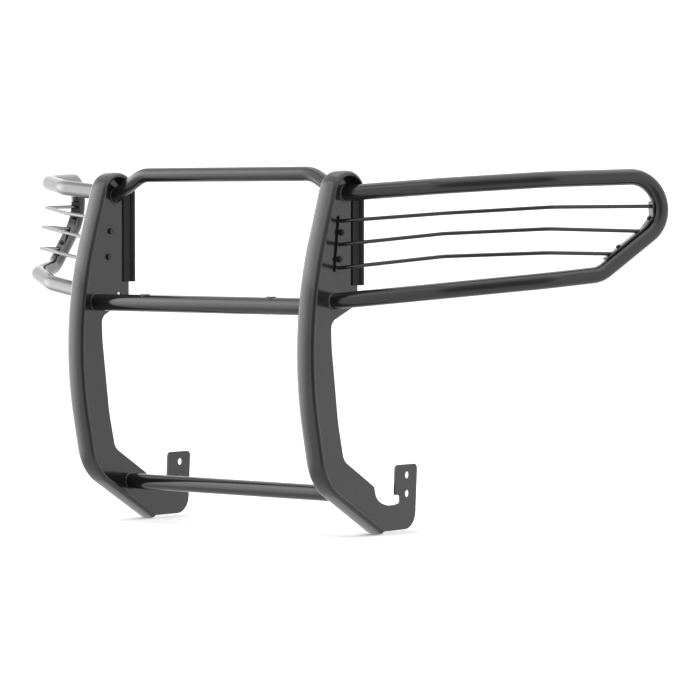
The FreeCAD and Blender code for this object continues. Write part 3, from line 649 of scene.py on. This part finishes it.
def build_stage():
    """A wide plain floor, left out of reflections."""
    mesh = bpy.data.meshes.new("floor")
    corners = [(FLOOR_REACH * x, FLOOR_REACH * y, 0) for x, y in ((-1, -1), (1, -1), (1, 1), (-1, 1))]
    mesh.from_pydata(corners, [], [(0, 1, 2, 3)])
    floor = bpy.data.objects.new("floor", mesh)
    bpy.context.scene.collection.objects.link(floor)
    floor.data.materials.append(stage_material())
    floor.visible_glossy = False


def add_light(name, where, size, power):
    """A rectangular lamp that looks at the object."""
    data = bpy.data.lights.new(name, "AREA")
    data.shape = "RECTANGLE"
    data.size, data.size_y = size
    data.energy = power
    light = bpy.data.objects.new(name, data)
    bpy.context.scene.collection.objects.link(light)
    light.location = where
    light.rotation_euler = (LIGHT_TARGET - Vector(where)).to_track_quat("-Z", "Y").to_euler()
    light.visible_camera = False


def world_node(tree, kind, operation, first, second):
    """A maths node whose two inputs are each a link or a constant."""
    node = tree.nodes.new(kind)
    node.operation = operation
    for slot_index, given in enumerate((first, second)):
        if hasattr(given, "is_linked"):
            tree.links.new(given, node.inputs[slot_index])
        else:
            node.inputs[slot_index].default_value = given
    return node


def world_range(tree, value, start, end, low, high):
    """A value that eases from low to high while the given one goes from start to end."""
    node = tree.nodes.new("ShaderNodeMapRange")
    node.interpolation_type = "SMOOTHSTEP"
    for name, given in (("From Min", start), ("From Max", end), ("To Min", low), ("To Max", high)):
        node.inputs[name].default_value = given
    tree.links.new(value, node.inputs["Value"])
    return node.outputs["Result"]


def build_world():
    """A white room, dimmer underfoot, with a bright wall on the left and a dim doorway."""
    world = bpy.data.worlds.new("studio")
    world.use_nodes = True
    bpy.context.scene.world = world
    tree = world.node_tree
    direction = tree.nodes.new("ShaderNodeTexCoord").outputs["Generated"]
    split = tree.nodes.new("ShaderNodeSeparateXYZ")
    tree.links.new(direction, split.inputs["Vector"])
    room = world_range(tree, split.outputs["Z"], start=-0.75, end=-0.1, low=FOOT, high=HORIZON)
    facing = world_node(tree, "ShaderNodeVectorMath", "DOT_PRODUCT", direction, DOORWAY)
    doorway = world_range(tree, facing.outputs["Value"], start=0.70, end=0.97, low=1.0, high=DOORWAY_LEVEL)
    beside = world_node(tree, "ShaderNodeVectorMath", "DOT_PRODUCT", direction, BRIGHT_WALL)
    wall = world_range(tree, beside.outputs["Value"], start=0.72, end=1.0, low=1.0, high=WALL_LEVEL)
    level = world_node(tree, "ShaderNodeMath", "MULTIPLY", room, doorway)
    lit = world_node(tree, "ShaderNodeMath", "MULTIPLY", level.outputs[0], wall)
    background = tree.nodes["Background"]
    background.inputs["Color"].default_value = (1.0, 1.0, 1.0, 1.0)
    tree.links.new(lit.outputs[0], background.inputs["Strength"])


def build_lights():
    """Two large soft lamps in the white room, from the front left and from above."""
    build_world()
    add_light("key", where=(-3.5, -4.5, 4.5), size=(5.5, 4.5), power=90.0)
    add_light("top", where=(0.5, 0.5, 4.0), size=(5.0, 4.0), power=60.0)


def build_look():
    """A plain display transform, so that the pale stage stays pale."""
    bpy.context.scene.view_settings.view_transform = "Standard"


def build_camera():
    """A long lens from the front right, looking slightly down."""
    data = bpy.data.cameras.new("camera")
    data.sensor_width = SENSOR
    data.lens = LENS
    data.dof.use_dof = False
    data.clip_end = CLIP_END
    camera = bpy.data.objects.new("camera", data)
    bpy.context.scene.collection.objects.link(camera)
    camera.location = CAMERA_PLACE
    camera.rotation_euler = (math.pi / 2 - CAMERA_DOWN, 0.0, CAMERA_TURN)
    bpy.context.scene.camera = camera


# ---------------------------------------------------------------- putting it together
coat = powder_coat("black_powder_coat", roughness=0.12, peel=0.35)
weld_coat = powder_coat("black_powder_coat_on_weld", roughness=0.3, peel=0.3)
trim_rubber = rubber("black_rubber")
plug_plastic = plastic("black_plastic")
fastener_steel = coated_steel("black_oxide_steel")
for node_name in NODES:
    if node_name.startswith("edge_trim"):
        dress(node_name, trim_rubber)
    elif "plug" in node_name:
        dress(node_name, plug_plastic)
    elif "bolts" in node_name or "nuts" in node_name or "inserts" in node_name:
        dress(node_name, fastener_steel)
    elif "welds" in node_name:
        dress(node_name, weld_coat)
    else:
        dress(node_name, coat)
build_welds(weld_coat)
build_fasteners(fastener_steel)
build_plugs(plug_plastic)
for side_name in SIDES:
    build_channel(side_name, coat)
build_stage()
build_lights()
build_look()
build_camera()
